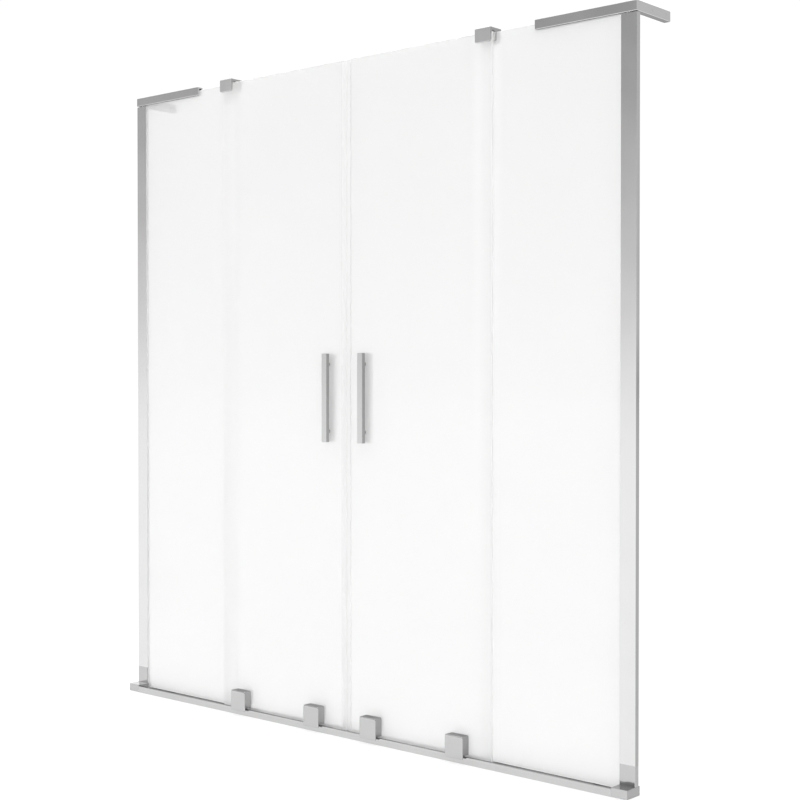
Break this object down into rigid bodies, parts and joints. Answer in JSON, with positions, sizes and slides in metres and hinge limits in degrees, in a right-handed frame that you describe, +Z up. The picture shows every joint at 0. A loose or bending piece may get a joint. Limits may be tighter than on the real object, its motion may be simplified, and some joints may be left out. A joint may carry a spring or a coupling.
{
  "type": "sliding bath screen",
  "caption": "Satin glass bath screen between two walls: fixed side panels, two doors on rollers that slide apart on a low rail, bar handles and top brackets.",
  "frame": {"origin": "middle of the underside of the bottom rail, where it lies on the bath rim", "axes": "X along the screen to the right as seen from the room, Y back over the bath, Z up"},
  "size_m": [1.476, 0.1579, 1.5],
  "materials": {
    "polished_rail": "polished",
    "polished_profile": "polished",
    "polished_foot": "polished",
    "polished_bracket": "polished",
    "polished_clip": "polished",
    "polished_cover": "polished",
    "polished_handle": "polished",
    "fixed_glass": "satin etched",
    "door_glass": "satin etched",
    "clear_seal": "soft and clear",
    "grey_gasket": "soft matt",
    "clear_pad": "soft and clear",
    "white_nylon": "moulded",
    "roller_nylon": "turned",
    "cast_body": "die cast",
    "steel": "bright",
    "black_rubber": "matt"
  },
  "bodies": {
    "frame": {"bottom_rail": "polished_rail", "cap_screws": "steel", "rail_stops": "black_rubber", "grub_screws": "steel", "left_rail_cap": "polished_rail", "right_rail_cap": "polished_rail", "left_profile_foot": "polished_foot", "right_profile_foot": "polished_foot", "left_wall_profile": "polished_profile", "right_wall_profile": "polished_profile", "left_glazing_gasket": "grey_gasket", "right_glazing_gasket": "grey_gasket", "left_fixed_glass": "fixed_glass", "right_fixed_glass": "fixed_glass", "left_rail_gasket": "grey_gasket", "right_rail_gasket": "grey_gasket", "left_top_bracket": "polished_bracket", "right_top_bracket": "polished_bracket", "left_guide_clip": "polished_clip", "right_guide_clip": "polished_clip", "left_clip_glide": "white_nylon", "right_clip_glide": "white_nylon"},
    "left_door": {"left_door_glass": "door_glass", "left_outer_handle": "polished_handle", "left_inner_handle": "polished_handle", "left_handle_studs": "steel", "left_handle_bushes": "white_nylon", "left_carriage_cover_inner": "polished_cover", "left_carriage_cover_outer": "polished_cover", "left_carriage_body_inner": "cast_body", "left_carriage_body_outer": "cast_body", "left_carriage_clamp_inner": "cast_body", "left_carriage_clamp_outer": "cast_body", "left_carriage_pads": "clear_pad", "left_carriage_screws": "steel", "left_roller_axles": "steel", "left_meeting_seal": "clear_seal", "left_overlap_seal": "clear_seal"},
    "left_inner_roller": {"left_roller_inner": "roller_nylon"},
    "left_outer_roller": {"left_roller_outer": "roller_nylon"},
    "right_door": {"right_door_glass": "door_glass", "right_outer_handle": "polished_handle", "right_inner_handle": "polished_handle", "right_handle_studs": "steel", "right_handle_bushes": "white_nylon", "right_carriage_cover_inner": "polished_cover", "right_carriage_cover_outer": "polished_cover", "right_carriage_body_inner": "cast_body", "right_carriage_body_outer": "cast_body", "right_carriage_clamp_inner": "cast_body", "right_carriage_clamp_outer": "cast_body", "right_carriage_pads": "clear_pad", "right_carriage_screws": "steel", "right_roller_axles": "steel", "right_meeting_seal": "clear_seal", "right_overlap_seal": "clear_seal"},
    "right_inner_roller": {"right_roller_inner": "roller_nylon"},
    "right_outer_roller": {"right_roller_outer": "roller_nylon"}
  },
  "joints": [
    {"name": "left_door_slide", "type": "slide", "parent": "frame", "child": "left_door", "axis": [-1, 0, 0], "range_m": [0, 0.295]},
    {"name": "right_door_slide", "type": "slide", "parent": "frame", "child": "right_door", "axis": [1, 0, 0], "range_m": [0, 0.295]},
    {"name": "left_inner_roller_spin", "type": "hinge", "parent": "left_door", "child": "left_inner_roller", "pos_m": [-0.086, -0.0195, 0.0268], "axis": [0, 1, 0], "range_deg": [-1540, 0]},
    {"name": "left_outer_roller_spin", "type": "hinge", "parent": "left_door", "child": "left_outer_roller", "pos_m": [-0.326, -0.0195, 0.0268], "axis": [0, 1, 0], "range_deg": [-1540, 0]},
    {"name": "right_inner_roller_spin", "type": "hinge", "parent": "right_door", "child": "right_inner_roller", "pos_m": [0.086, -0.0195, 0.0268], "axis": [0, 1, 0], "range_deg": [0, 1540]},
    {"name": "right_outer_roller_spin", "type": "hinge", "parent": "right_door", "child": "right_outer_roller", "pos_m": [0.326, -0.0195, 0.0268], "axis": [0, 1, 0], "range_deg": [0, 1540]}
  ],
  "couplings": [
    {"joint": "left_inner_roller_spin", "follows": "left_door_slide", "rad_per_m": -90.909},
    {"joint": "left_outer_roller_spin", "follows": "left_door_slide", "rad_per_m": -90.909},
    {"joint": "right_inner_roller_spin", "follows": "right_door_slide", "rad_per_m": 90.909},
    {"joint": "right_outer_roller_spin", "follows": "right_door_slide", "rad_per_m": 90.909}
  ]
}
